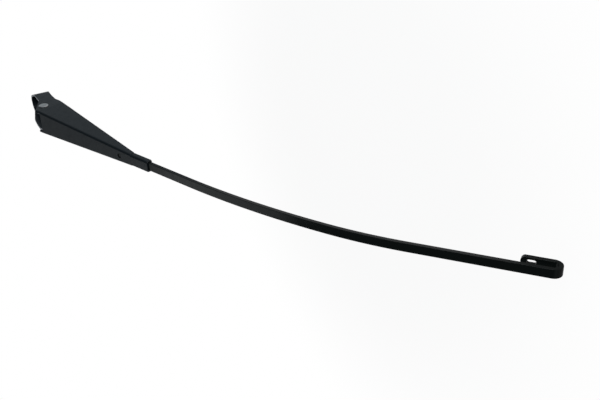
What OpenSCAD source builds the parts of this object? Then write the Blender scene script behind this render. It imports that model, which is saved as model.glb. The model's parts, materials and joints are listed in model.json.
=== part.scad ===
// Wiper arm: a tapered pressed-steel head on a hairpin mount, with a curved flat rod that ends in a hook.
// Row frame: the origin is the spindle axis at the nut seat, +Z points away from the glass along the spindle,
// +X points towards the arm, and the hinge axis is parallel to Y.
// The arm is drawn resting on its lower stop.

/* [Rod] */
// Width of the flat rod
rod_w = 9; // [8:0.5:11]
// Thickness of the flat rod
rod_t = 4; // [3:0.25:5]
// Rounding of the rod's long edges
rod_edge_r = 0.4; // [0.3:0.1:1]
// Length of rod inside the head, from the mouth of the throat to the tail
rod_tail = 57; // [55:1:62]
// Straight stretch outside the throat
rod_straight = 60; // [10:1:120]
// Radius of the gentle bend that comes first
gentle_r = 1000; // [700:10:2000]
// Angle of the gentle bend
gentle_a = 9.8; // [3:0.1:12]
// Radius of the tighter bend that follows
tight_r = 530; // [400:10:1200]
// Angle of the tighter bend
tight_a = 8.6; // [5:0.1:18]
// Straight stretch before the hook
rod_end = 123; // [60:1:200]

/* [Hook] */
// Inner radius of the hook's bend
hook_r = 4.25; // [3.5:0.25:6]
// Returned leg, from the end of the bend to its round tip
hook_leg = 28; // [24:1:40]
// Width of the latch slot in the returned leg
slot_w = 4.4; // [3:0.1:5]
// Length of the latch slot
slot_len = 8.5; // [6:0.5:12]
// Metal between the slot and the tip
slot_margin = 5; // [3.5:0.5:8]

/* [Head] */
// Thickness of the pressed sheet
sheet_t = 2; // [1.2:0.1:2.2]
// Hinge axis to the mouth of the throat
head_len = 205.5; // [190:0.5:240]
// Length of the throat that is closed round the rod
throat_len = 28; // [24:1:40]
// Outer width of the head across its ears
head_w = 28.8; // [26:0.1:31]
// Hinge axis to the outer face of the web
web_h = 14.2; // [13.8:0.1:17]
// Hinge axis to the rear edge of the web
web_back = 11.5; // [11:0.5:13]
// Outer radius of the bends between web and side walls
bend_r = 2.5; // [2.3:0.1:3]
// Hinge axis to the free edge of the side walls at the rear
wall_drop = 21.8; // [20:0.1:25]
// Length over which the ears stay parallel, ahead of the hinge axis
ear_flat = 9; // [7:0.5:10]
// Radius of the ears' round ends
ear_r = 10; // [8:0.5:12]
// Reach of the ears behind the hinge axis
ear_back = 20.5; // [17:0.1:24]
// Where the ears' slanted edges start at the web, ahead of the hinge axis
ear_start = 4.5; // [3:0.5:8]
// Gap between the two folded edges under the throat
throat_slit = 1; // [0.5:0.1:3]

/* [Mount bracket] */
// Spindle axis to hinge axis, along the bracket
hinge_x = 48.5; // [45:0.5:54]
// Nut seat to hinge axis, away from the glass
hinge_z = 7; // [5:0.5:9]
// Thickness of the folded strap
strap_t = 2; // [1.6:0.1:2.4]
// Rim at the back of the loop, above the hinge axis
rim_z = 2.2; // [1:0.1:3]
// Rim along the upper leg, which is blanked lower, above the hinge axis
low_rim_z = -0.4; // [-1:0.1:0.8]
// Lower edge of the loop below the hinge axis
strap_drop = 18.5; // [17:0.5:19]
// Lower edge of the lugs below the hinge axis
foot_drop = 19.5; // [19:0.5:21]
// Top of the lugs above the hinge axis
lug_z = 10.3; // [9.5:0.1:10.5]
// Noses that stop on the web, ahead of the hinge axis
nose_x = 20; // [18:0.5:21]

/* [Spindle collet] */
// Radius of the hole for the threaded end of the spindle
spindle_r = 4.2; // [3.2:0.1:4.6]
// Length of that hole, under the nut seat
seat_t = 4; // [3:0.5:6]
// Radius of the socket at the tips of its serrations
serration_r = 5; // [4.8:0.1:5.8]
// Depth of the serrations
serration_d = 0.5; // [0.3:0.1:0.8]
// Number of serrations
serrations = 36; // [24:1:48]

/* [Hinge] */
// Diameter of the hinge rivet
pin_d = 6; // [5:0.5:7]
// Diameter of the rivet's flat head
rivet_head_d = 11.4; // [9:0.1:13]
// Height of the rivet's flat head
rivet_head_h = 1.4; // [1:0.1:2.5]
// Diameter of the rivet's closed end
rivet_foot_d = 9.6; // [8:0.1:12]
// Wall of the distance bush on the rivet
bush_wall = 1.15; // [0.8:0.05:1.5]
// Diameter of the thin washers
washer_d = 12; // [10:0.5:14]
// Thickness of the thin washers
washer_t = 0.5; // [0.3:0.1:0.5]

/* [Spring] */
// Diameter of the spring wire
wire_d = 1.8; // [1.4:0.1:2]
// Outer diameter of the coil
coil_d = 10; // [8:0.5:11]
// Number of turns
coil_turns = 32; // [20:1:34]
// Distance from turn to turn
coil_pitch = 2.55; // [2.3:0.05:2.7]
// Radius of the rear hook, to the middle of the wire
rear_hook_r = 3.4; // [3.2:0.1:4]

/* [Spring link] */
// Hinge axis to link pin
link_reach = 8.5; // [8.2:0.1:9]
// Direction of the link pin from the hinge axis, in degrees from +X towards +Z
link_dir = 252; // [240:1:260]
// Diameter of the link pin
link_pin_d = 4; // [3:0.5:4.5]
// Link pin to the hole that the spring hooks into
link_len = 34; // [30:1:40]
// Thickness of the link
link_t = 3; // [2:0.25:3]
// Height of the link's straight arm
link_h = 6.5; // [6:0.25:7]
// Width of the link's curved neck
link_neck = 3.2; // [2.5:0.1:4]

/* [Anchor stud] */
// Mouth of the throat to the stud
stud_back = 47; // [44:0.5:50]
// Diameter of the stud where it passes through the rod
stud_d = 3.8; // [3:0.1:4.5]
// Diameter of the stud's sunk head
stud_head_d = 6.8; // [5.5:0.1:7.5]
// Depth of the dish in the head
stud_dish = 0.9; // [0.4:0.1:1.1]
// Length of the neck that holds the spring
stud_neck = 3.1; // [2.8:0.1:3.4]
// Thickness of the flange at the stud's inner end
stud_flange_t = 1.1; // [0.8:0.1:1.5]

/* [Motion] */
// How far the arm hangs below the bracket at its lower stop
droop = 20; // [15:1:22]
// Travel of the arm from the lower stop to fully raised
fold = 110; // [90:1:112]

/* [Hidden] */
$fn = 64;

paint = [0.17, 0.18, 0.19];
black = [0.1, 0.1, 0.11];
zinc = [0.72, 0.72, 0.7];
steel = [0.5, 0.5, 0.5];

run_gap = 0.05;          // radial play of a running fit
stop_gap = 0.15;         // play between the noses and the web at the lower stop
side_gap = 0.15;         // play beside the rod in the throat
link_gap = 0.5;          // play between the distance bush and the link
washer_gap = 0.075;      // play beside each thin washer
cut_gap = 0.25;          // room beside the bracket in the cut-out of the web
seat_relief = 0.05;      // how far the round seat goes into the inside of the hook
slice = 0.01;            // thickness of the thin slices that a taper is spanned between
cut = 1;                 // how far a cutting shape passes the surface that it cuts

// Head
web_in = web_h - sheet_t;
throat_w = rod_w + 2 * (side_gap + sheet_t);
throat_d = rod_t + 2 * sheet_t;
throat_x = head_len - throat_len;
crimp = 0.5;             // how far the throat is drawn in from the end of the taper, each side
inner_r = bend_r - sheet_t;
ear_in = head_w / 2 - sheet_t;
loop_r = ear_in - washer_t - 2 * washer_gap;
stud_x = head_len - stud_back;
ear_c = [ear_r - ear_back, ear_r - wall_drop];
ear_edge = [ear_start, web_h];
ear_ray = ear_edge - ear_c;
ear_touch = atan2(ear_ray.y, ear_ray.x) + acos(ear_r / norm(ear_ray));
wall_start = 2;          // where the free edges start to rise towards the throat
lip_len = 1.2;           // length of the bevel at the mouth of the throat
lip_in = 0.7;            // how far that bevel comes in
web_cut_w = 2 * (loop_r + cut_gap);
web_cut_r = 1.5;
wall_foot = wall_drop + 6;

// Rod
rod_z = web_in - rod_t / 2;
hook_mid_r = hook_r + rod_t / 2;
bend_step = 0.5;         // angle from section to section in the rod's two gentle bends
hook_step = 9;           // the same in the hook
slope = gentle_a + tight_a;
// where a bend of radius r and angle a ends that starts at p with heading h, towards the glass
function bend_end(p, h, r, a) = p + r * [sin(h + a) - sin(h), cos(h + a) - cos(h)];
function bend_path(p, h, r, a, step) =
    let (n = ceil(a / step)) [for (i = [0 : n]) [bend_end(p, h, r, a * i / n), h + a * i / n]];
gentle_from = [head_len + rod_straight, rod_z];
tight_from = bend_end(gentle_from, 0, gentle_r, gentle_a);
straight_from = bend_end(tight_from, gentle_a, tight_r, tight_a);
hook_from = straight_from + rod_end * [cos(slope), -sin(slope)];
hook_c = hook_from - hook_mid_r * [sin(slope), cos(slope)];
leg_from = bend_end(hook_from, slope, hook_mid_r, 180);

// Bracket
strap_in = loop_r - strap_t;
nose_z = (web_in - stop_gap - nose_x * sin(droop)) / cos(droop);
lug_front = 6;           // front end of the lugs' level top
lug_rear = [0, -8];      // rear end of it, on the upper and on the lower leg
step_x = -24;            // where the upper leg steps up, and the lower leg's long slope ends
slope_z = 9.2;           // height of the lower leg's edge there
back_in = 4;             // level stretch of the rim at the back of the loop
foot_x = [-34, -20, -9]; // where the lower edge leaves the loop's level, and the ends of its low stretch
chin = [[5, -16], [16, -7]];  // corners of the lugs' front edge, below the nose
soft_r = 20;             // radius of the wide curves of the outline
lug_r = 8;               // radius of the lugs' corners

// Collet
collet_h = strap_drop - hinge_z;
mouth_cone = 0.8;        // bevel at the mouth of the socket
mouth_step = 0.2;        // ledge between the bevel and the serrations

// Hinge
bush_r = pin_d / 2 + run_gap + bush_wall;
washer_y = (loop_r + ear_in) / 2;

// Spring and link
coil_r = (coil_d - wire_d) / 2;
stud_z = web_in - rod_t;
spring_end = [stud_x, stud_z - stud_neck / 2];
link_pin_at = link_reach * [cos(link_dir), sin(link_dir)];
// direction of the link, seen from the bracket, when the arm is turned up by a from its stop
function turned(p, a) = [p.x * cos(a) - p.y * sin(a), p.x * sin(a) + p.y * cos(a)];
function link_line(a) = turned(spring_end, a - droop) - link_pin_at;
function link_angle(a) = atan2(link_line(a).y, link_line(a).x);
link_rest = link_angle(0);
link_up = link_angle(fold);
spring_reach = norm(link_line(0));
eye_r = link_reach - bush_r - link_gap;
neck_relief = 0.1;       // extra room at the end of the link's travel
neck_in = bush_r + link_gap + neck_relief;
neck_c = turned([link_reach, 0], link_dir - 180 - link_up);
sweep_r = link_reach + bush_r + link_gap;
link_hole_r = wire_d / 2 + 0.7;
loop_play = 0.25;        // play between the front loop's wire and the stud's neck
front_loop_r = stud_d / 2 + loop_play + wire_d / 2;
coil_len = coil_turns * coil_pitch;
coil_start = link_len + rear_hook_r + 4;
ring_steps = 12;         // wire sections in one turn
wire_sides = 6;          // sides of the wire

// Rounded outlines: each point is [x, y, radius]
function unit(v) = v / norm(v);
function corner(p, a, b, r, n) =
    let (u = unit(a - p), v = unit(b - p), half = acos(u * v) / 2,
         c = p + unit(u + v) * r / sin(half),
         s = p + u * r / tan(half) - c, e = p + v * r / tan(half) - c,
         from = atan2(s.y, s.x), by = (atan2(e.y, e.x) - from + 540) % 360 - 180)
    [for (i = [0 : n]) c + r * [cos(from + by * i / n), sin(from + by * i / n)]];
function rounded(pts, n = 6) =
    [for (i = [0 : len(pts) - 1])
        let (p = pts[i], a = pts[(i + len(pts) - 1) % len(pts)], b = pts[(i + 1) % len(pts)])
        each p[2] > 0 ? corner([p.x, p.y], [a.x, a.y], [b.x, b.y], p[2], n) : [[p.x, p.y]]];

// A bar drawn through rings of points
module swept(rings) {
    n = len(rings[0]);
    last = len(rings) - 1;
    sides = [for (i = [0 : last - 1], k = [0 : n - 1])
        let (a = i * n + k, b = i * n + (k + 1) % n)
        [a, b, b + n, a + n]];
    near = [for (k = [n - 1 : -1 : 0]) k];
    far = [for (k = [0 : n - 1]) last * n + k];
    polyhedron([for (r = rings) each r], concat([near], sides, [far]));
}
// Rings of a round wire bent along stations, each [point, normal]
function wire_ring(p, n, t, r) =
    let (b = unit(cross(t, n)), m = cross(b, t))
    [for (k = [0 : wire_sides - 1]) p + r * (cos(360 * k / wire_sides) * m + sin(360 * k / wire_sides) * b)];
function wire_rings(stations, r) =
    let (last = len(stations) - 1)
    [for (i = [0 : last])
        wire_ring(stations[i][0], stations[i][1], unit(stations[min(i + 1, last)][0] - stations[max(i - 1, 0)][0]), r)];

// Frames: the arm, and the link on its pin
module in_arm() translate([hinge_x, 0, hinge_z]) rotate([0, droop, 0]) children();
module at_hinge() translate([hinge_x, 0, hinge_z]) children();
module in_link() at_hinge() translate([link_pin_at.x, 0, link_pin_at.y]) rotate([0, -link_rest, 0]) children();

// An outline in X and Z, given a thickness along Y
module plate(t, y = 0) translate([0, y + t / 2, 0]) rotate([90, 0, 0]) linear_extrude(t) children();
// A round bar along Y
module bar(r, len, y = 0) translate([0, y + len / 2, 0]) rotate([90, 0, 0]) cylinder(r = r, h = len);

// Head: a cross-section of the channel, open below, at one place along it
module section(w, top, r, x, len) {
    translate([x, 0, 0]) rotate([90, 0, 90]) linear_extrude(len)
        polygon(rounded([[-w / 2, -wall_foot, 0], [w / 2, -wall_foot, 0], [w / 2, top, r], [-w / 2, top, r]]));
}
module channel_form(inset, r) {
    rear_w = head_w - 2 * inset;
    front_w = throat_w + 2 * (crimp - inset);
    rear_x = -ear_back - cut;
    section(rear_w, web_h - inset, r, rear_x, ear_flat - rear_x);
    hull() {
        section(rear_w, web_h - inset, r, ear_flat - slice, slice);
        section(front_w, web_h - inset, r, throat_x, slice);
    }
}
module side_outline() {
    touch = ear_c + ear_r * [cos(ear_touch), sin(ear_touch)];
    polygon([ear_edge, touch, ear_c, [ear_c.x, -wall_drop], [wall_start, -wall_drop],
             [throat_x, web_h - throat_d], [throat_x + slice, web_h - throat_d], [throat_x + slice, web_h]]);
    translate(ear_c) circle(ear_r);
}
module sleeve(w, d, r, x, len) {
    translate([x, 0, web_h - throat_d / 2]) rotate([90, 0, 90]) linear_extrude(len)
        polygon(rounded([[-w / 2, -d / 2, r], [w / 2, -d / 2, r], [w / 2, d / 2, r], [-w / 2, d / 2, r]]));
}
module throat() {
    difference() {
        union() {
            sleeve(throat_w, throat_d, bend_r, throat_x, throat_len - lip_len);
            hull() {
                sleeve(throat_w, throat_d, bend_r, head_len - lip_len - slice, slice);
                sleeve(throat_w - 2 * lip_in, throat_d - 2 * lip_in, bend_r - lip_in, head_len - slice, slice);
            }
        }
        sleeve(rod_w + 2 * side_gap, rod_t, inner_r, throat_x - cut, throat_len + 2 * cut);
        translate([throat_x - cut, -throat_slit / 2, web_h - throat_d - cut])
            cube([throat_len + 2 * cut, throat_slit, sheet_t + 2 * cut]);
    }
}
module head_channel() {
    color(paint) in_arm() difference() {
        union() {
            difference() {
                intersection() {
                    channel_form(0, bend_r);
                    plate(2 * head_w) side_outline();
                }
                channel_form(sheet_t, inner_r);
            }
            throat();
        }
        translate([0, 0, web_in - cut]) linear_extrude(sheet_t + 2 * cut)
            polygon(rounded([[-ear_back, -web_cut_w / 2, 0], [web_back, -web_cut_w / 2, web_cut_r],
                             [web_back, web_cut_w / 2, web_cut_r], [-ear_back, web_cut_w / 2, 0]]));
        bar(pin_d / 2, head_w + 2 * cut);
        translate([stud_x, 0, web_in - cut]) cylinder(d = stud_d, h = sheet_t + 2 * cut);
        translate([stud_x, 0, web_in]) cylinder(d1 = stud_d, d2 = stud_head_d, h = sheet_t);
    }
}

// Rod: one section drawn along a path of stations, each [point, heading]
rod_section = rounded([[-rod_t / 2, -rod_w / 2, rod_edge_r], [rod_t / 2, -rod_w / 2, rod_edge_r],
                       [rod_t / 2, rod_w / 2, rod_edge_r], [-rod_t / 2, rod_w / 2, rod_edge_r]], 3);
rod_path = concat(
    [[[head_len - rod_tail, rod_z], 0]],
    bend_path(gentle_from, 0, gentle_r, gentle_a, bend_step),
    [for (st = bend_path(tight_from, gentle_a, tight_r, tight_a, bend_step)) if (st[1] > gentle_a) st],
    bend_path(hook_from, slope, hook_mid_r, 180, hook_step),
    [[leg_from + hook_leg * [-cos(slope), sin(slope)], slope + 180]]);
module in_leg() translate([leg_from.x, 0, leg_from.y]) rotate([0, slope + 180, 0]) children();
module leg_hole(outline) linear_extrude(rod_t + 2 * cut, center = true) polygon(outline);
module arm_rod() {
    tip_c = hook_leg - rod_w / 2;
    slot = [hook_leg - slot_margin - slot_len, hook_leg - slot_margin];
    color(black) in_arm() difference() {
        swept([for (st = rod_path) [for (q = rod_section)
            [st[0].x + q.x * sin(st[1]), -q.y, st[0].y + q.x * cos(st[1])]]]);
        translate([stud_x, 0, rod_z]) cylinder(d = stud_d, h = rod_t + 2 * cut, center = true);
        translate([hook_c.x, 0, hook_c.y]) bar(hook_r + seat_relief, rod_w + 2 * cut);
        in_leg() {
            leg_hole(rounded([[slot[0], -slot_w / 2, slot_w / 2 - slice], [slot[1], -slot_w / 2, slot_w / 2 - slice],
                              [slot[1], slot_w / 2, slot_w / 2 - slice], [slot[0], slot_w / 2, slot_w / 2 - slice]]));
            linear_extrude(rod_t + 2 * cut, center = true) difference() {
                translate([tip_c, -rod_w]) square([rod_w, 2 * rod_w]);
                translate([tip_c, 0]) circle(d = rod_w);
            }
        }
    }
}

// Stud that holds the rod's tail in the head, and the spring on its neck
module anchor_stud() {
    r = stud_d / 2;
    flange_r = r + wire_d / 2 + 0.5;
    foot = stud_z - stud_neck - stud_flange_t;
    color(zinc) in_arm() translate([stud_x, 0, 0]) rotate_extrude() difference() {
        polygon([[0, foot], [flange_r, foot], [flange_r, foot + stud_flange_t], [r, foot + stud_flange_t],
                 [r, web_in], [stud_head_d / 2, web_h], [0, web_h]]);
        polygon([[0, web_h - stud_dish], [stud_head_d / 4, web_h - stud_dish],
                 [stud_head_d / 2 - 0.5, web_h + slice], [0, web_h + slice]]);
    }
}

// Hinge
module hinge_pin() {
    half = head_w / 2;
    head_r = rivet_head_d / 2;
    foot_r = rivet_foot_d / 2;
    color(zinc) in_arm() rotate([-90, 0, 0]) rotate_extrude()
        polygon([[0, -half - rivet_head_h], [foot_r - 1.2, -half - rivet_head_h], [foot_r, -half - 0.4],
                 [foot_r, -half], [pin_d / 2, -half], [pin_d / 2, half], [head_r, half],
                 [head_r, half + rivet_head_h / 2], [head_r - 0.9, half + rivet_head_h - 0.2],
                 [head_r - 2, half + rivet_head_h], [0, half + rivet_head_h]]);
}
module washer(side) {
    color(zinc) in_arm() difference() {
        bar(washer_d / 2, washer_t, side * washer_y);
        bar(pin_d / 2 + 2 * run_gap, washer_t + 2 * cut, side * washer_y);
    }
}
module washer_upper() washer(1);
module washer_lower() washer(-1);
module hinge_bush() {
    color(steel) at_hinge() difference() {
        bar(bush_r, 2 * strap_in);
        bar(pin_d / 2 + run_gap, 2 * strap_in + 2 * cut);
    }
}

// Mount bracket: a strap blanked to its side outline and folded round the spindle
module leg_outline(rim) {
    rear = -hinge_x - loop_r - cut;
    polygon(rounded(concat([[rear, rim_z, 0]], rim, [
        [lug_front, lug_z, lug_r], [nose_x, nose_z, 1],
        [chin[1].x, chin[1].y, lug_r], [chin[0].x, chin[0].y, lug_r],
        [foot_x[2], -foot_drop, lug_r], [foot_x[1], -foot_drop, soft_r], [foot_x[0], -strap_drop, soft_r],
        [rear, -strap_drop, 0]])));
}
module upper_leg() {
    leg_outline([[-hinge_x - loop_r + back_in, rim_z, lug_r], [-hinge_x, low_rim_z, lug_r],
                 [step_x, low_rim_z, soft_r], [lug_rear[0], lug_z, lug_r]]);
}
module lower_leg() {
    leg_outline([[-hinge_x - back_in, rim_z, soft_r], [step_x, slope_z, soft_r], [lug_rear[1], lug_z, lug_r]]);
}
module folded_strap(r, front) {
    translate([0, 0, -foot_drop - cut]) linear_extrude(foot_drop + lug_z + 2 * cut) {
        circle(r);
        translate([0, -r]) square([front, 2 * r]);
    }
}
module mount_bracket() {
    color(paint) difference() {
        intersection() {
            translate([0, 0, hinge_z]) difference() {
                folded_strap(loop_r, hinge_x + nose_x);
                folded_strap(strap_in, hinge_x + nose_x + cut);
            }
            at_hinge() {
                plate(loop_r + cut, (loop_r + cut) / 2) upper_leg();
                plate(loop_r + cut, -(loop_r + cut) / 2) lower_leg();
            }
        }
        at_hinge() bar(pin_d / 2 + run_gap, 2 * loop_r + 2 * cut);
        in_link() bar(link_pin_d / 2, 2 * loop_r + 2 * cut);
    }
}

// Spindle collet: bore under the nut seat, serrated socket below it
function star(n, tip, root) =
    [for (i = [0 : 2 * n - 1]) (i % 2 == 0 ? root : tip) * [cos(180 * i / n), sin(180 * i / n)]];
module spindle_collet() {
    socket_h = collet_h - seat_t;
    root_r = serration_r + serration_d;
    color(steel) translate([0, 0, -collet_h]) difference() {
        cylinder(r = strap_in, h = collet_h);
        translate([0, 0, -cut]) linear_extrude(socket_h + cut) polygon(star(serrations, serration_r, root_r));
        cylinder(r = spindle_r, h = collet_h + cut);
        translate([0, 0, -cut]) cylinder(r = root_r + mouth_step + mouth_cone, h = cut);
        cylinder(r1 = root_r + mouth_step + mouth_cone, r2 = root_r + mouth_step, h = mouth_cone);
    }
}

// Link between bracket and spring
module link_pin() color(zinc) in_link() bar(link_pin_d / 2, 2 * loop_r);
module link_outline() {
    wide = 3 * sweep_r;
    low = link_dir - 180 - link_up;
    high = link_dir - 180 - link_rest;
    neck_out = neck_in + link_neck;
    difference() {
        union() {
            circle(eye_r);
            translate(neck_c) circle(neck_out);
            translate([neck_c.x, -link_h / 2]) square([link_len - neck_c.x, link_h]);
            translate([link_len, 0]) circle(link_h / 2);
        }
        translate(neck_c) circle(neck_in);
        difference() {
            intersection() {
                circle(sweep_r);
                polygon([[0, 0], wide * [cos(low), sin(low)], wide * [cos((low + high) / 2), sin((low + high) / 2)],
                         wide * [cos(high), sin(high)], wide * [cos(high + 40), sin(high + 40)]]);
            }
            circle(eye_r);
        }
        circle(link_pin_d / 2 + run_gap);
        translate([link_len, 0]) circle(link_hole_r);
    }
}
module spring_link() color(zinc) in_link() plate(link_t) link_outline();

// Spring: rear hook through the link's hole, coil, and front loop round the stud's neck
function arc_station(cx, r, a) = [[cx + r * cos(a), r * sin(a), 0], [cos(a), sin(a), 0]];
function coil_station(a) = [[coil_start + coil_pitch * a / 360, coil_r * cos(a), coil_r * sin(a)],
                            [0, cos(a), sin(a)]];
// the wire leaves the straight and enters the coil over a quarter turn
function lead_station(x, y, f) =
    let (a = -90 * (1 - f)) [[x * (1 - f) + coil_start * f, (y * (1 - f) + coil_r * f), 0], [0, 1, 0]];
module tension_spring() {
    hook_c = link_len + rear_hook_r;
    loop_c = spring_reach;
    coil_end = coil_start + coil_len;
    rear = [for (a = [290 : -20 : 90]) arc_station(hook_c, rear_hook_r, a)];
    lead_in = [for (f = [0.25, 0.5]) lead_station(hook_c, rear_hook_r, f)];
    turns = [for (i = [0 : coil_turns * ring_steps]) coil_station(360 * i / ring_steps)];
    lead_out = [for (f = [0.1, 0.95])
        [[coil_end * (1 - f) + loop_c * f, coil_r * (1 - f) + front_loop_r * f, 0], [0, 1, 0]]];
    front = [for (a = [90 : -20 : -110]) arc_station(loop_c, front_loop_r, a)];
    color(steel) in_link() swept(wire_rings(concat(rear, lead_in, turns, lead_out, front), wire_d / 2));
}

head_channel();
arm_rod();
anchor_stud();
hinge_pin();
washer_upper();
washer_lower();
mount_bracket();
spindle_collet();
hinge_bush();
link_pin();
spring_link();
tension_spring();
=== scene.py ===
import json
import math

import bpy
import bmesh
from mathutils import Matrix, Vector


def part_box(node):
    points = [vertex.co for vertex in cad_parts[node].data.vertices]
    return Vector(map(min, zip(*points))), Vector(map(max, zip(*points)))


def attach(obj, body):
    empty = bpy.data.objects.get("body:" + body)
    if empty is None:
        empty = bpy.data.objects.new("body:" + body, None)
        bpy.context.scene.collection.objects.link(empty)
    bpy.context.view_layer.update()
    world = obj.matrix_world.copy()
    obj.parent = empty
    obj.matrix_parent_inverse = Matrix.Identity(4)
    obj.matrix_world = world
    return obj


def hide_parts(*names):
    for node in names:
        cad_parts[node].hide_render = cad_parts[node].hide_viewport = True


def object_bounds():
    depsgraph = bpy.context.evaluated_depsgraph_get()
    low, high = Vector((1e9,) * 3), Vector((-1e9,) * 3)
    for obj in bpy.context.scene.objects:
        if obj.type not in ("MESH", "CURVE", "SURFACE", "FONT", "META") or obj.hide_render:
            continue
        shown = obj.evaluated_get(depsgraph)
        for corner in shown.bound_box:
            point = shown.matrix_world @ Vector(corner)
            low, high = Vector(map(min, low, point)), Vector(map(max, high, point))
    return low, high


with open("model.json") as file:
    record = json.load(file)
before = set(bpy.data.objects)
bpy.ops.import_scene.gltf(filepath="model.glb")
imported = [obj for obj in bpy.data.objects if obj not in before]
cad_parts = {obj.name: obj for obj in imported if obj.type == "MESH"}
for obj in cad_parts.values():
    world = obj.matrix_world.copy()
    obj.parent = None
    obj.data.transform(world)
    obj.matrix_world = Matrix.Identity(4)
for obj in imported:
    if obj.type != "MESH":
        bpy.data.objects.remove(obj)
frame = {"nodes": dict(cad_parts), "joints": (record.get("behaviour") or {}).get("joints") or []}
cadLow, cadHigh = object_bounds()
print("frame loaded")

scene = bpy.context.scene
scene.view_settings.view_transform = "Standard"

# Camera: found by fitting the photo's outlines, metres in the part's frame
cameraFit = {
    "place": (1.03812, 0.40917, 0.18462),
    "forward": (-0.77107, -0.49185, -0.4044),
    "right": (0.48498, -0.04209, -0.87351),
    "lens": 51.374,
    "sensor": 36.0,
    "nearest": 0.01,
}


def makeCamera(fit):
    forward = Vector(fit["forward"]).normalized()
    right = Vector(fit["right"])
    right = (right - right.dot(forward) * forward).normalized()
    up = right.cross(forward)
    camera = bpy.data.objects.new("camera", bpy.data.cameras.new("camera"))
    scene.collection.objects.link(camera)
    turn = Matrix((right, up, -forward)).transposed()
    camera.matrix_world = Matrix.Translation(fit["place"]) @ turn.to_4x4()
    camera.data.lens = fit["lens"]
    camera.data.sensor_width = fit["sensor"]
    camera.data.clip_start = fit["nearest"]
    scene.camera = camera


makeCamera(cameraFit)
print("camera set")

droop = math.radians(20)    # how far the head slopes down at rest
hinge = Vector(next(joint["pos_m"] for joint in frame["joints"] if joint["name"] == "arm_fold"))


def newMaterial(name):
    material = bpy.data.materials.new(name)
    material.use_nodes = True
    tree = material.node_tree
    return material, tree, tree.nodes["Principled BSDF"]


def noise(tree, coords, scale, detail, rough=0.6):
    node = tree.nodes.new("ShaderNodeTexNoise")
    node.inputs["Scale"].default_value = scale
    node.inputs["Detail"].default_value = detail
    node.inputs["Roughness"].default_value = rough
    tree.links.new(coords.outputs["Object"], node.inputs["Vector"])
    return node.outputs["Fac"]


def ramp(tree, source, stops):
    # stops are (place, color), in rising order
    node = tree.nodes.new("ShaderNodeValToRGB")
    elements = node.color_ramp.elements
    for element, (place, color) in zip(elements, (stops[0], stops[-1])):
        element.position = place
        element.color = (*color, 1)
    for place, color in stops[1:-1]:
        elements.new(place).color = (*color, 1)
    tree.links.new(source, node.inputs["Fac"])
    return node.outputs["Color"]


def mapRange(tree, source, fromSpan, toSpan=(0, 1), ease="SMOOTHSTEP"):
    node = tree.nodes.new("ShaderNodeMapRange")
    node.interpolation_type = ease
    node.inputs["From Min"].default_value = fromSpan[0]
    node.inputs["From Max"].default_value = fromSpan[1]
    node.inputs["To Min"].default_value = toSpan[0]
    node.inputs["To Max"].default_value = toSpan[1]
    tree.links.new(source, node.inputs["Value"])
    return node.outputs["Result"]


def calculate(tree, operation, *values):
    # each value is another node's output or a plain number
    node = tree.nodes.new("ShaderNodeMath")
    node.operation = operation
    for socket, value in zip(node.inputs, values):
        if isinstance(value, bpy.types.NodeSocket):
            tree.links.new(value, socket)
        else:
            socket.default_value = value
    return node.outputs[0]


def axisOf(tree, source, axis):
    node = tree.nodes.new("ShaderNodeSeparateXYZ")
    tree.links.new(source, node.inputs[0])
    return node.outputs[axis]


def distanceTo(tree, coords, place):
    node = tree.nodes.new("ShaderNodeVectorMath")
    node.operation = "DISTANCE"
    tree.links.new(coords.outputs["Object"], node.inputs[0])
    node.inputs[1].default_value = place
    return node.outputs["Value"]


def paintOver(tree, tone, color, share):
    node = tree.nodes.new("ShaderNodeMix")
    node.data_type = "RGBA"
    tree.links.new(share, node.inputs["Factor"])
    tree.links.new(tone, node.inputs["A"])
    node.inputs["B"].default_value = (*color, 1)
    return node.outputs["Result"]


def mixShaders(tree, share, first, second, output):
    node = tree.nodes.new("ShaderNodeMixShader")
    for source, socket in zip((share, first, second), node.inputs):
        tree.links.new(source, socket)
    tree.links.new(node.outputs["Shader"], tree.nodes[output].inputs["Surface"])


# Finishes: "grain" is the scale of the finest texture, "uneven" how far the roughness strays
noiseSpan = (0.3, 0.7)    # where nearly all values of a noise lie
grainDepth = 0.0002    # metres, what a bump of strength 1 stands for


def glossAndGrain(tree, shader, look, patches, uneven, grain):
    rough = [look["roughness"] + change for change in uneven]
    tree.links.new(mapRange(tree, patches, noiseSpan, rough, "LINEAR"), shader.inputs["Roughness"])
    bump = tree.nodes.new("ShaderNodeBump")
    bump.inputs["Strength"].default_value = look["bump"]
    bump.inputs["Distance"].default_value = grainDepth
    tree.links.new(grain, bump.inputs["Height"])
    tree.links.new(bump.outputs["Normal"], shader.inputs["Normal"])


blackCoat = {
    "color": (0.0045, 0.0072, 0.0098),
    "roughness": 0.36,
    "specular": 0.2,
    "grain": 2600,
    "bump": 0.015,
}
rodCoat = {
    "color": (0.0056, 0.0072, 0.0068),
    "roughness": 0.19,
    "specular": 0.12,
    "grain": 2400,
    "bump": 0.01,
}
coatTexture = {
    "clouds": {"scale": 55, "detail": 3.0},
    "cloudTones": (0.93, 1.07),
    "patches": {"scale": 140, "detail": 2.0},
    "uneven": (-0.04, 0.05),
    "peel": {"detail": 2.0, "rough": 0.5},
}
# "upright" is how squarely a face points up or down, "reach" the metres from the middle of the dish
# bare metal on the strap's edges, made light as a painted highlight along the rim
bareEdgeAndHighlight = {"color": (0.5, 0.5, 0.52), "upright": (0.8, 0.96), "metallic": 0.85}
# painted shade for the stud's dish: a near-black colour round its middle
studDishShade = {"color": (0.0008, 0.0009, 0.001), "reach": (0.0029, 0.0022)}


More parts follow.
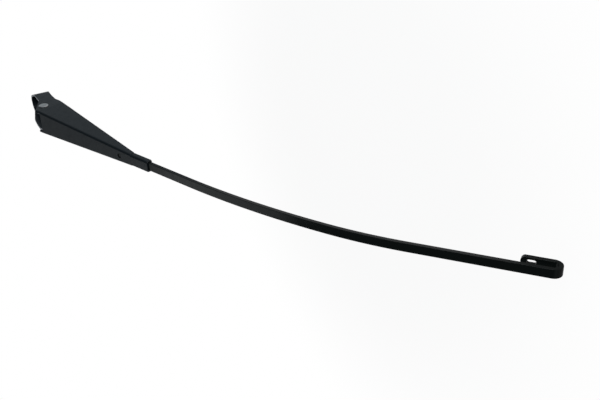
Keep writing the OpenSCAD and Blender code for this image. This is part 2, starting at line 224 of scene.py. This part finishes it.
def coat(name, look, edge=None, dish=None):
    # a powder or dip coat: fine orange peel, faint clouds of tone, slightly uneven gloss
    material, tree, shader = newMaterial(name)
    shader.inputs["Specular IOR Level"].default_value = look["specular"]
    coords = tree.nodes.new("ShaderNodeTexCoord")
    clouds = noise(tree, coords, **coatTexture["clouds"])
    tones = [tuple(tone * c for c in look["color"]) for tone in coatTexture["cloudTones"]]
    tone = ramp(tree, clouds, list(zip(noiseSpan, tones)))
    if edge:
        # the blanked edges of the strap, which face up and down, have lost most of the coat; their light
        # bare-metal colour is also a painted highlight along the rim
        upright = calculate(tree, "ABSOLUTE", axisOf(tree, coords.outputs["Normal"], "Z"))
        bareAndHighlight = mapRange(tree, upright, edge["upright"])
        tone = paintOver(tree, tone, edge["color"], bareAndHighlight)
        shine = calculate(tree, "MULTIPLY", bareAndHighlight, edge["metallic"])
        tree.links.new(shine, shader.inputs["Metallic"])
    if dish:
        # painted shade: the stud's dish is coloured near black, fading out at its rim, standing in for the
        # shade in the recess
        dishShade = mapRange(tree, distanceTo(tree, coords, dish["place"]), dish["reach"])
        tone = paintOver(tree, tone, dish["color"], dishShade)
    tree.links.new(tone, shader.inputs["Base Color"])
    patches = noise(tree, coords, **coatTexture["patches"])
    peel = noise(tree, coords, look["grain"], **coatTexture["peel"])
    glossAndGrain(tree, shader, look, patches, coatTexture["uneven"], peel)
    return material


zincPlate = {
    "color": (0.46, 0.46, 0.465),
    "tint": (1.1, 1.08, 1.0),
    "roughness": 0.34,
    "grain": 1500,
    "bump": 0.02,
}
plainSteel = {
    "color": (0.22, 0.22, 0.225),
    "tint": (0.95, 0.93, 0.9),
    "roughness": 0.36,
    "grain": 900,
    "bump": 0.03,
}
metalTexture = {
    "clouds": {"scale": 220, "detail": 4.0},
    "cloudStops": (0.32, 0.5, 0.7),
    "dark": 0.84,
    "wear": {"detail": 5.0, "rough": 0.7},
    "uneven": (-0.07, 0.1),
}


def metal(name, look):
    # plated or plain steel: a cloudy tone from the bath or the oil, and fine handling marks
    material, tree, shader = newMaterial(name)
    shader.inputs["Metallic"].default_value = 1.0
    coords = tree.nodes.new("ShaderNodeTexCoord")
    clouds = noise(tree, coords, **metalTexture["clouds"])
    base = look["color"]
    dark = tuple(metalTexture["dark"] * c for c in base)
    tinted = tuple(c * t for c, t in zip(base, look["tint"]))
    tone = ramp(tree, clouds, list(zip(metalTexture["cloudStops"], (dark, base, tinted))))
    tree.links.new(tone, shader.inputs["Base Color"])
    wear = noise(tree, coords, look["grain"], **metalTexture["wear"])
    glossAndGrain(tree, shader, look, wear, metalTexture["uneven"], wear)
    return material


# the middle of the stud's round head, from the corners of its box
studLow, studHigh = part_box("anchor_stud")
studRadius = (studHigh.y - studLow.y) / 2
studDishShade["place"] = (studHigh.x - studRadius * math.cos(droop), 0, studHigh.z - studRadius * math.sin(droop))

finishes = {
    "head": coat("headCoat", blackCoat),
    "mount": coat("mountCoat", blackCoat, edge=bareEdgeAndHighlight),
    "rod": coat("rodCoat", rodCoat),
    "stud": coat("studCoat", blackCoat, dish=studDishShade),
    "zinc": metal("zincPlate", zincPlate),
    "steel": metal("plainSteel", plainSteel),
}
nodeFinish = {
    "head_channel": "head",
    "mount_bracket": "mount",
    "arm_rod": "rod",
    "anchor_stud": "stud",
    "hinge_pin": "zinc",
    "washer_upper": "zinc",
    "washer_lower": "zinc",
    "link_pin": "zinc",
    "spring_link": "zinc",
    "spindle_collet": "steel",
    "hinge_bush": "steel",
    "tension_spring": "steel",
}
for name, finish in nodeFinish.items():
    piece = frame["nodes"][name]
    piece.data.materials.clear()
    piece.data.materials.append(finishes[finish])
print("finishes on")

mergeReach = 2e-6    # metres, finer than the smallest step of the parts
flatAngle = math.radians(0.3)    # triangles that turn less than this are one flat face


def mergedCopy(node, name):
    # the node's loose triangles, joined into one skin, which keeps the node's finish
    copy = bpy.data.objects.new(name, frame["nodes"][node].data.copy())
    scene.collection.objects.link(copy)
    skin = bmesh.new()
    skin.from_mesh(copy.data)
    bmesh.ops.remove_doubles(skin, verts=skin.verts, dist=mergeReach)
    skin.to_mesh(copy.data)
    skin.free()
    return copy


def smoothShell(shell, crease):
    # soft over the rounded edges, flat on the flats
    skin = bmesh.new()
    skin.from_mesh(shell.data)
    bmesh.ops.dissolve_limit(skin, angle_limit=flatAngle, verts=skin.verts, edges=skin.edges)
    skin.to_mesh(shell.data)
    skin.free()
    for face in shell.data.polygons:
        face.use_smooth = True
    shell.data.set_sharp_from_angle(angle=crease)
    normals = shell.modifiers.new("normals", "WEIGHTED_NORMAL")
    normals.keep_sharp = True


def takeOver(shell, node, body):
    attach(shell, body)
    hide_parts(node)


# Head: the free edges of its side walls run down smoothly into the throat.
# Places are (along the head, away from the glass) from the hinge, in metres: "edge" is the line that
# the walls are trimmed to, "waste" the far side of what is cut away.
headTrim = {
    "edge": [(0.0, -0.02214), (0.177511, 0.0078)],
    "waste": [(0.177511, 0.005), (0.0, -0.024)],
    "halfWidth": 0.02,
    "crease": math.radians(35),
}


def trimCutter(look):
    # a thin wedge over both walls, between the pressed edge and the trimmed one
    along = Vector((math.cos(droop), 0, -math.sin(droop)))
    out = Vector((math.sin(droop), 0, math.cos(droop)))
    side = Vector((0, look["halfWidth"], 0))
    wedge = bmesh.new()
    ring = []
    for u, w in look["edge"] + look["waste"]:
        ring.append(wedge.verts.new(hinge + u * along + w * out - side))
    face = wedge.faces.new(ring)
    grown = bmesh.ops.extrude_face_region(wedge, geom=[face])
    moved = [g for g in grown["geom"] if isinstance(g, bmesh.types.BMVert)]
    bmesh.ops.translate(wedge, verts=moved, vec=2 * side)
    bmesh.ops.recalc_face_normals(wedge, faces=wedge.faces)
    mesh = bpy.data.meshes.new("trimCutter")
    wedge.to_mesh(mesh)
    wedge.free()
    cutter = bpy.data.objects.new("trimCutter", mesh)
    scene.collection.objects.link(cutter)
    return cutter


def makeHead(look):
    shell = mergedCopy("head_channel", "headShell")
    cutter = trimCutter(look)
    cut = shell.modifiers.new("trim", "BOOLEAN")
    cut.operation = "DIFFERENCE"
    cut.solver = "EXACT"
    cut.object = cutter
    bpy.context.view_layer.update()
    evaluated = shell.evaluated_get(bpy.context.evaluated_depsgraph_get())
    trimmed = bpy.data.meshes.new_from_object(evaluated)
    shell.modifiers.clear()
    shell.data = trimmed
    bpy.data.objects.remove(cutter)
    smoothShell(shell, look["crease"])
    takeOver(shell, "head_channel", "arm")
    print("head trimmed", len(trimmed.polygons), "faces")


makeHead(headTrim)

# Rod: the same solid with its bends and rounded edges shaded smooth
rodSmooth = {"crease": math.radians(50)}


def makeRod(look):
    shell = mergedCopy("arm_rod", "rodShell")
    smoothShell(shell, look["crease"])
    takeOver(shell, "arm_rod", "arm")
    print("rod smoothed")


makeRod(rodSmooth)

# Floor: white where the camera and the gloss see it, with a faint shadow kept near the object.
# "shade" goes by the distance from the object's middle: less white glow near it lets the real shadow show
# and paints the floor a shade darker there too; "dim" goes by x: the hook mirrors a dimmer floor, a painted
# darker reflection.
floorLook = {
    "drop": 0.004,    # how far it lies below the object
    "size": 3.0,
    "left": -0.2,    # its rear edge along x
    "color": (0.9, 0.9, 0.9),
    "roughness": 0.9,
    "middle": 0.3,    # the object's middle along x
    "shade": {"reach": (0.15, 0.49), "glow": (0.92, 1)},
    "mirrored": 0.97,    # how white it is in the gloss
    "dim": {"reach": (0.5, 0.59), "glow": (1, 0.3)},
}


def makeFloor(look):
    middle = (look["left"] + look["size"] / 2, 0, cadLow.z - look["drop"])
    bpy.ops.mesh.primitive_plane_add(size=look["size"], location=middle)
    floor = bpy.context.object
    floor.name = "floor"
    material, tree, shader = newMaterial("floorPaper")
    shader.inputs["Base Color"].default_value = (*look["color"], 1)
    shader.inputs["Roughness"].default_value = look["roughness"]
    path = tree.nodes.new("ShaderNodeLightPath")
    coords = tree.nodes.new("ShaderNodeTexCoord")
    reach = distanceTo(tree, coords, (look["middle"] - middle[0], 0, 0))
    # painted shade: the floor is darker near the object, also where no shadow falls
    shade = mapRange(tree, reach, look["shade"]["reach"], look["shade"]["glow"])
    viewed = calculate(tree, "MULTIPLY", path.outputs["Is Camera Ray"], shade)
    mirrored = calculate(tree, "MULTIPLY", path.outputs["Is Glossy Ray"], look["mirrored"])
    share = calculate(tree, "MAXIMUM", viewed, mirrored)
    # painted reflection: the glow that the gloss sees is dimmed past the hook
    dimSpan = [x - middle[0] for x in look["dim"]["reach"]]
    dim = mapRange(tree, axisOf(tree, coords.outputs["Object"], "X"), dimSpan, look["dim"]["glow"])
    glow = tree.nodes.new("ShaderNodeEmission")
    strength = calculate(tree, "MAXIMUM", path.outputs["Is Camera Ray"], dim)
    tree.links.new(strength, glow.inputs["Strength"])
    mixShaders(tree, share, shader.outputs["BSDF"], glow.outputs["Emission"], "Material Output")
    floor.data.materials.append(material)


makeFloor(floorLook)

# World: pale round the horizon and dim overhead, so that the folds of the head stay dark.
# "height" is the upward part of the direction, from the pale part to the dim one.
skyLook = {"color": (0.85, 0.94, 1), "height": (0.25, 0.55), "strength": (0.42, 0.1)}


def makeWorld(look):
    world = bpy.data.worlds.new("studio")
    scene.world = world
    world.use_nodes = True
    tree = world.node_tree
    light = tree.nodes["Background"]
    light.inputs["Color"].default_value = (*look["color"], 1)
    coords = tree.nodes.new("ShaderNodeTexCoord")
    height = axisOf(tree, coords.outputs["Generated"], "Z")
    level = mapRange(tree, height, look["height"], look["strength"])
    tree.links.new(level, light.inputs["Strength"])
    white = tree.nodes.new("ShaderNodeBackground")
    white.inputs["Color"].default_value = (1, 1, 1, 1)
    path = tree.nodes.new("ShaderNodeLightPath")
    skies = (light.outputs["Background"], white.outputs["Background"])
    mixShaders(tree, path.outputs["Is Camera Ray"], *skies, "World Output")


makeWorld(skyLook)

# Lamps: the key makes the soft highlights, the other two are mirrored by the rod and the web
lamps = {
    "key": {"place": (0.8, 1.0, 0.45), "aim": (0.25, 0, -0.1), "size": 0.7, "watts": 9.0},
    "panel": {"place": (-0.02, -0.59, 0.91), "aim": (0.35, 0, -0.08), "size": 0.54, "watts": 1.15},
    "fill": {"place": (-0.56, -0.49, 0.86), "aim": (0.1, 0, -0.02), "size": 0.56, "watts": 0.38},
}
lampColor = (0.94, 0.98, 1)


def makeLamp(name, look):
    data = bpy.data.lights.new(name, "AREA")
    data.shape = "SQUARE"
    data.size = look["size"]
    data.energy = look["watts"]
    data.color = lampColor
    lamp = bpy.data.objects.new(name, data)
    scene.collection.objects.link(lamp)
    lamp.location = look["place"]
    beam = Vector(look["aim"]) - Vector(look["place"])
    lamp.rotation_euler = beam.to_track_quat("-Z", "Y").to_euler()


for name, look in lamps.items():
    makeLamp(name, look)
print("stage and lamps set")
